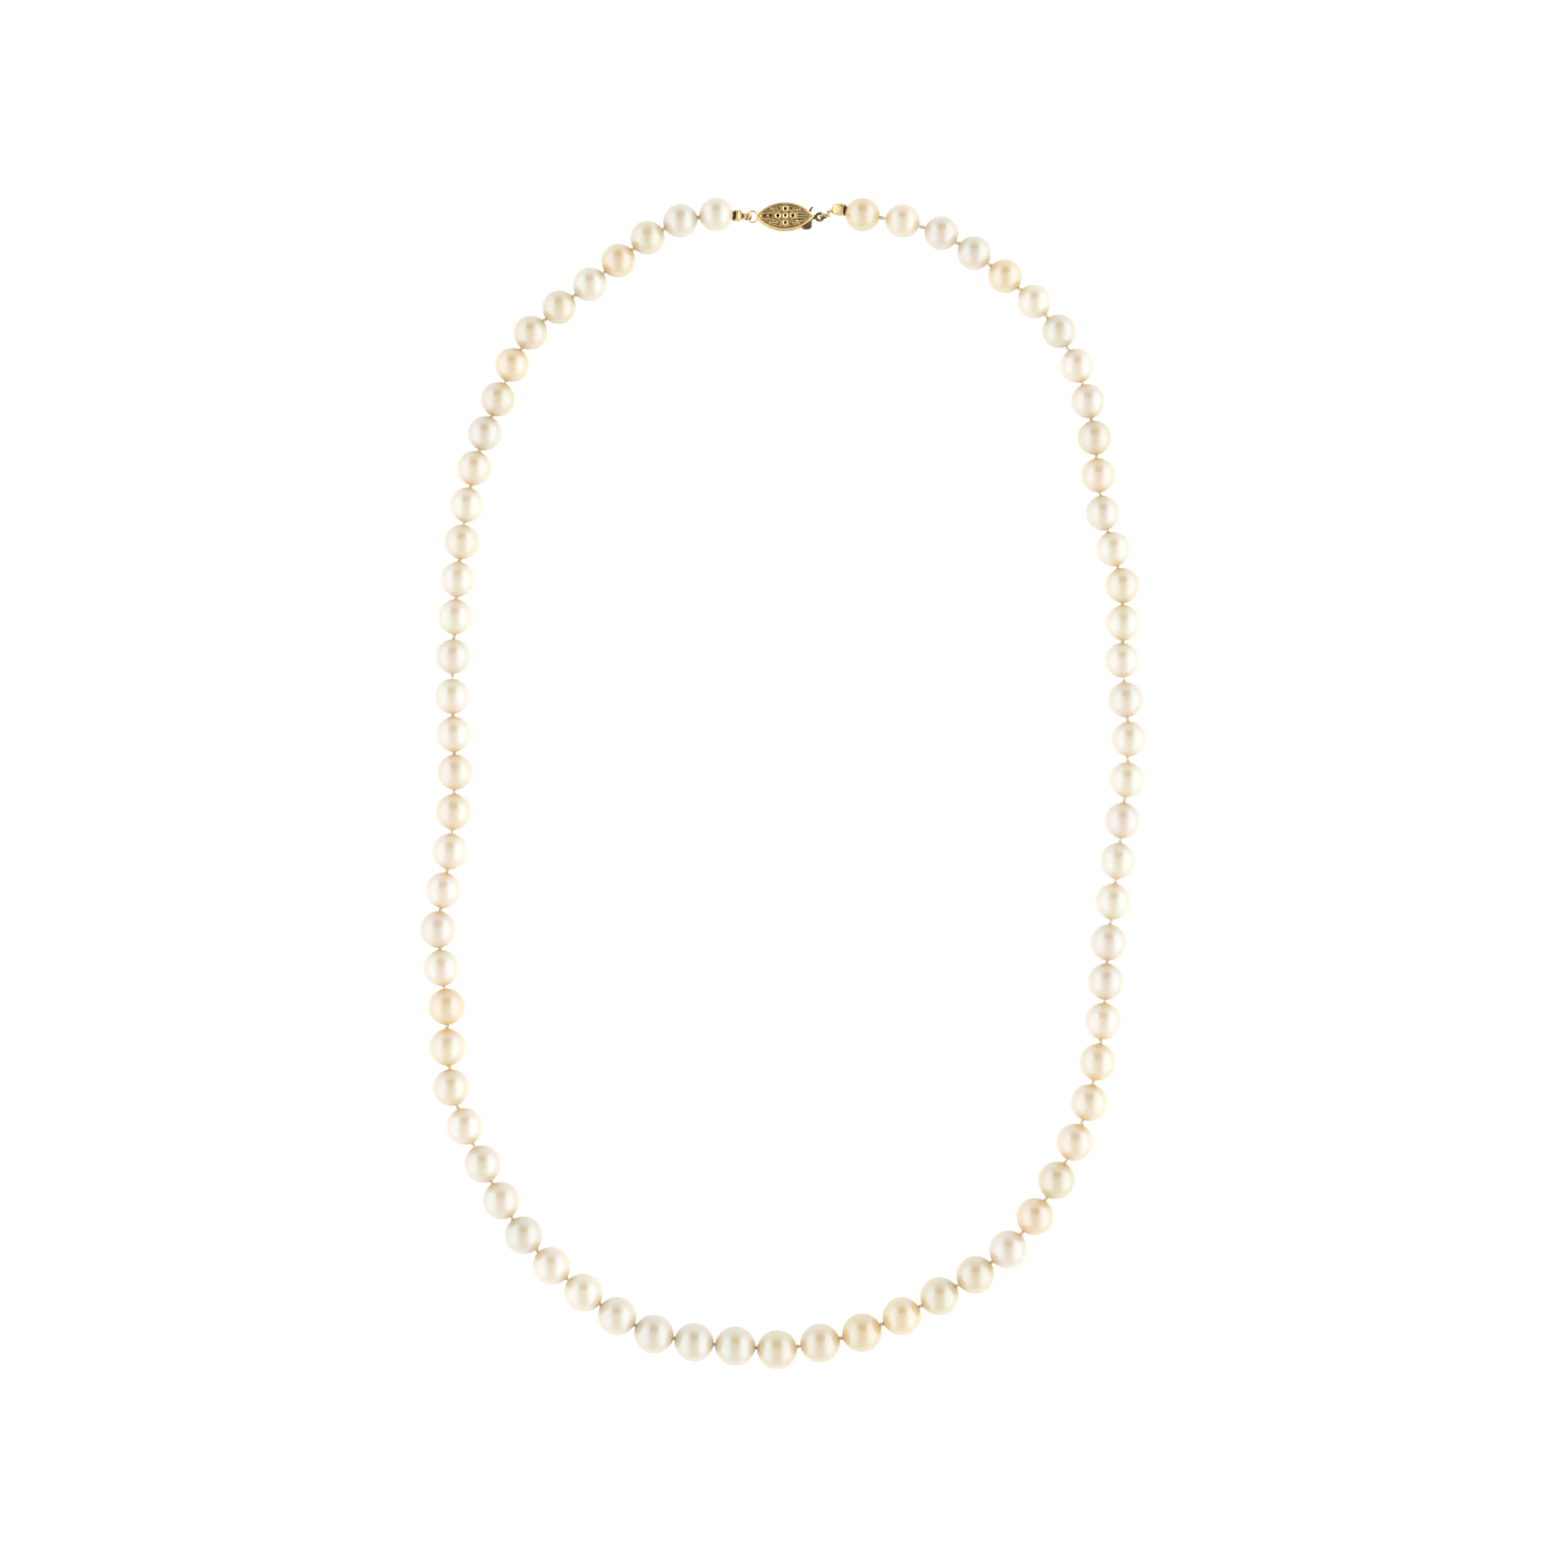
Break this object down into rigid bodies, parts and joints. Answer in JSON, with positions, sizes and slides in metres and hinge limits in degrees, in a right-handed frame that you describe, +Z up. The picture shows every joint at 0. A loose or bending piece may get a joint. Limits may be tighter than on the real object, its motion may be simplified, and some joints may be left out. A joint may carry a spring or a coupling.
{
  "type": "pearl necklace",
  "caption": "Knotted single strand of graduated round pearls, laid out as a closed loop, with a gold filigree marquise clasp that opens.",
  "frame": {"origin": "centre of the loop on the surface that the strand lies on", "axes": "+Y along the loop's length towards the clasp, +Z up from the surface, +X towards the side of the clasp that its hook enters from"},
  "size_m": [0.1458, 0.2351, 0.008],
  "materials": {
    "pearl": "satin-lustrous cream and rose nacre",
    "silk": "twisted cream silk cord",
    "gold": "polished 14-carat yellow gold",
    "hook_gold": "duller, slightly tarnished yellow gold"
  },
  "bodies": {
    "centre": {"pearl_pair_19": "pearl"},
    "left_1": {"pearl_pair_17": "pearl", "pearl_pair_18": "pearl"},
    "left_2": {"pearl_pair_15": "pearl", "pearl_pair_16": "pearl"},
    "left_3": {"pearl_pair_13": "pearl", "pearl_pair_14": "pearl"},
    "left_4": {"pearl_pair_11": "pearl", "pearl_pair_12": "pearl"},
    "left_5": {"pearl_pair_09": "pearl", "pearl_pair_10": "pearl"},
    "left_6": {"pearl_pair_07": "pearl", "pearl_pair_08": "pearl"},
    "left_7": {"pearl_pair_05": "pearl", "pearl_pair_06": "pearl"},
    "left_8": {"pearl_pair_03": "pearl", "pearl_pair_04": "pearl"},
    "left_9": {"left_bead_tip": "gold", "left_end_knot": "silk", "pearl_pair_01": "pearl", "pearl_pair_02": "pearl"},
    "right_1": {"pearl_pair_20": "pearl", "pearl_pair_21": "pearl"},
    "right_2": {"pearl_pair_22": "pearl", "pearl_pair_23": "pearl"},
    "right_3": {"pearl_pair_24": "pearl", "pearl_pair_25": "pearl"},
    "right_4": {"pearl_pair_26": "pearl", "pearl_pair_27": "pearl"},
    "right_5": {"pearl_pair_28": "pearl", "pearl_pair_29": "pearl"},
    "right_6": {"pearl_pair_30": "pearl", "pearl_pair_31": "pearl"},
    "right_7": {"pearl_pair_32": "pearl", "pearl_pair_33": "pearl"},
    "right_8": {"pearl_pair_34": "pearl", "pearl_pair_35": "pearl"},
    "right_9": {"pearl_pair_36": "pearl", "pearl_pair_37": "pearl", "right_bead_tip": "gold", "right_end_knot": "silk"},
    "clasp_box": {"clasp_back_filigree": "gold", "clasp_back_flower": "gold", "clasp_back_rim": "gold", "clasp_catch_lip": "gold", "clasp_end_ring": "gold", "clasp_front_filigree": "gold", "clasp_front_flower": "gold", "clasp_front_rim": "gold", "clasp_wall": "gold"},
    "clasp_hook": {"hook_tongue": "hook_gold"},
    "clasp_leaf": {"hook_spring_leaf": "hook_gold"}
  },
  "joints": [
    {"name": "right_knot_1", "type": "hinge", "parent": "centre", "child": "right_1", "pos_m": [0.003, -0.11275, 0.00397], "axis": [0, 0, -1], "range_deg": [0, 28]},
    {"name": "right_knot_2", "type": "hinge", "parent": "right_1", "child": "right_2", "pos_m": [0.03481, -0.10056, 0.00387], "axis": [0, 0, -1], "range_deg": [0, 27.5]},
    {"name": "right_knot_3", "type": "hinge", "parent": "right_2", "child": "right_3", "pos_m": [0.05654, -0.07568, 0.00378], "axis": [0, 0, -1], "range_deg": [0, 26.5]},
    {"name": "right_knot_4", "type": "hinge", "parent": "right_3", "child": "right_4", "pos_m": [0.06429, -0.04364, 0.0037], "axis": [0, 0, -1], "range_deg": [0, 9.5]},
    {"name": "right_knot_5", "type": "hinge", "parent": "right_4", "child": "right_5", "pos_m": [0.06744, -0.01145, 0.00363], "axis": [0, 0, -1], "range_deg": [0, 4.5]},
    {"name": "right_knot_6", "type": "hinge", "parent": "right_5", "child": "right_6", "pos_m": [0.06819, 0.02076, 0.00356], "axis": [0, 0, -1], "range_deg": [0, 8.5]},
    {"name": "right_knot_7", "type": "hinge", "parent": "right_6", "child": "right_7", "pos_m": [0.06495, 0.05059, 0.00351], "axis": [0, 0, -1], "range_deg": [0, 3.5]},
    {"name": "right_knot_8", "type": "hinge", "parent": "right_7", "child": "right_8", "pos_m": [0.05989, 0.08016, 0.00348], "axis": [0, 0, -1], "range_deg": [0, 31.5]},
    {"name": "right_knot_9", "type": "hinge", "parent": "right_8", "child": "right_9", "pos_m": [0.04128, 0.10399, 0.00345], "axis": [0, 0, -1], "range_deg": [0, 35.5]},
    {"name": "left_knot_1", "type": "hinge", "parent": "centre", "child": "left_1", "pos_m": [-0.01382, -0.11231, 0.00397], "axis": [0, 0, 1], "range_deg": [0, 19.5]},
    {"name": "left_knot_2", "type": "hinge", "parent": "left_1", "child": "left_2", "pos_m": [-0.04329, -0.09931, 0.00387], "axis": [0, 0, 1], "range_deg": [0, 30.5]},
    {"name": "left_knot_3", "type": "hinge", "parent": "left_2", "child": "left_3", "pos_m": [-0.0621, -0.07245, 0.00378], "axis": [0, 0, 1], "range_deg": [0, 25.5]},
    {"name": "left_knot_4", "type": "hinge", "parent": "left_3", "child": "left_4", "pos_m": [-0.06803, -0.04082, 0.0037], "axis": [0, 0, 1], "range_deg": [0, 12.5]},
    {"name": "left_knot_5", "type": "hinge", "parent": "left_4", "child": "left_5", "pos_m": [-0.06646, -0.00962, 0.00363], "axis": [0, 0, 1], "range_deg": [0, 2.5]},
    {"name": "left_knot_6", "type": "hinge", "parent": "left_5", "child": "left_6", "pos_m": [-0.06631, 0.02148, 0.00356], "axis": [0, 0, 1], "range_deg": [0, 3.5]},
    {"name": "left_knot_7", "type": "hinge", "parent": "left_6", "child": "left_7", "pos_m": [-0.06399, 0.05212, 0.00351], "axis": [0, 0, 1], "range_deg": [0, 12.5]},
    {"name": "left_knot_8", "type": "hinge", "parent": "left_7", "child": "left_8", "pos_m": [-0.0558, 0.08045, 0.00348], "axis": [0, 0, 1], "range_deg": [0, 26.5]},
    {"name": "left_knot_9", "type": "hinge", "parent": "left_8", "child": "left_9", "pos_m": [-0.03595, 0.10239, 0.00345], "axis": [0, 0, 1], "range_deg": [0, 26.5]},
    {"name": "box_swivel", "type": "hinge", "parent": "left_9", "child": "clasp_box", "pos_m": [-0.0062, 0.11375, 0.00195], "axis": [0, 0, -1], "range_deg": [0, 30.5]},
    {"name": "hook_swivel", "type": "hinge", "parent": "right_9", "child": "clasp_hook", "pos_m": [0.00725, 0.11375, 0.0016], "axis": [0, 0, 1], "range_deg": [0, 30.5]},
    {"name": "leaf_press", "type": "hinge", "parent": "clasp_hook", "child": "clasp_leaf", "pos_m": [-0.00145, 0.11375, 0.00185], "axis": [0, 1, 0], "range_deg": [0, 4], "stiffness_Nm_per_rad": 0.005}
  ],
  "couplings": [
    {"joint": "right_knot_2", "follows": "right_knot_1", "ratio": 0.9643},
    {"joint": "right_knot_3", "follows": "right_knot_1", "ratio": 0.9286},
    {"joint": "right_knot_4", "follows": "right_knot_1", "ratio": 0.3214},
    {"joint": "right_knot_5", "follows": "right_knot_1", "ratio": 0.1429},
    {"joint": "right_knot_6", "follows": "right_knot_1", "ratio": 0.2857},
    {"joint": "right_knot_7", "follows": "right_knot_1", "ratio": 0.1071},
    {"joint": "right_knot_8", "follows": "right_knot_1", "ratio": 1.1071},
    {"joint": "right_knot_9", "follows": "right_knot_1", "ratio": 1.25},
    {"joint": "left_knot_1", "follows": "right_knot_1", "ratio": 0.6786},
    {"joint": "left_knot_2", "follows": "right_knot_1", "ratio": 1.0714},
    {"joint": "left_knot_3", "follows": "right_knot_1", "ratio": 0.8929},
    {"joint": "left_knot_4", "follows": "right_knot_1", "ratio": 0.4286},
    {"joint": "left_knot_5", "follows": "right_knot_1", "ratio": 0.0714},
    {"joint": "left_knot_6", "follows": "right_knot_1", "ratio": 0.1071},
    {"joint": "left_knot_7", "follows": "right_knot_1", "ratio": 0.4286},
    {"joint": "left_knot_8", "follows": "right_knot_1", "ratio": 0.9286},
    {"joint": "left_knot_9", "follows": "right_knot_1", "ratio": 0.9286},
    {"joint": "box_swivel", "follows": "right_knot_1", "ratio": 1.0714},
    {"joint": "hook_swivel", "follows": "right_knot_1", "ratio": 1.0714}
  ]
}
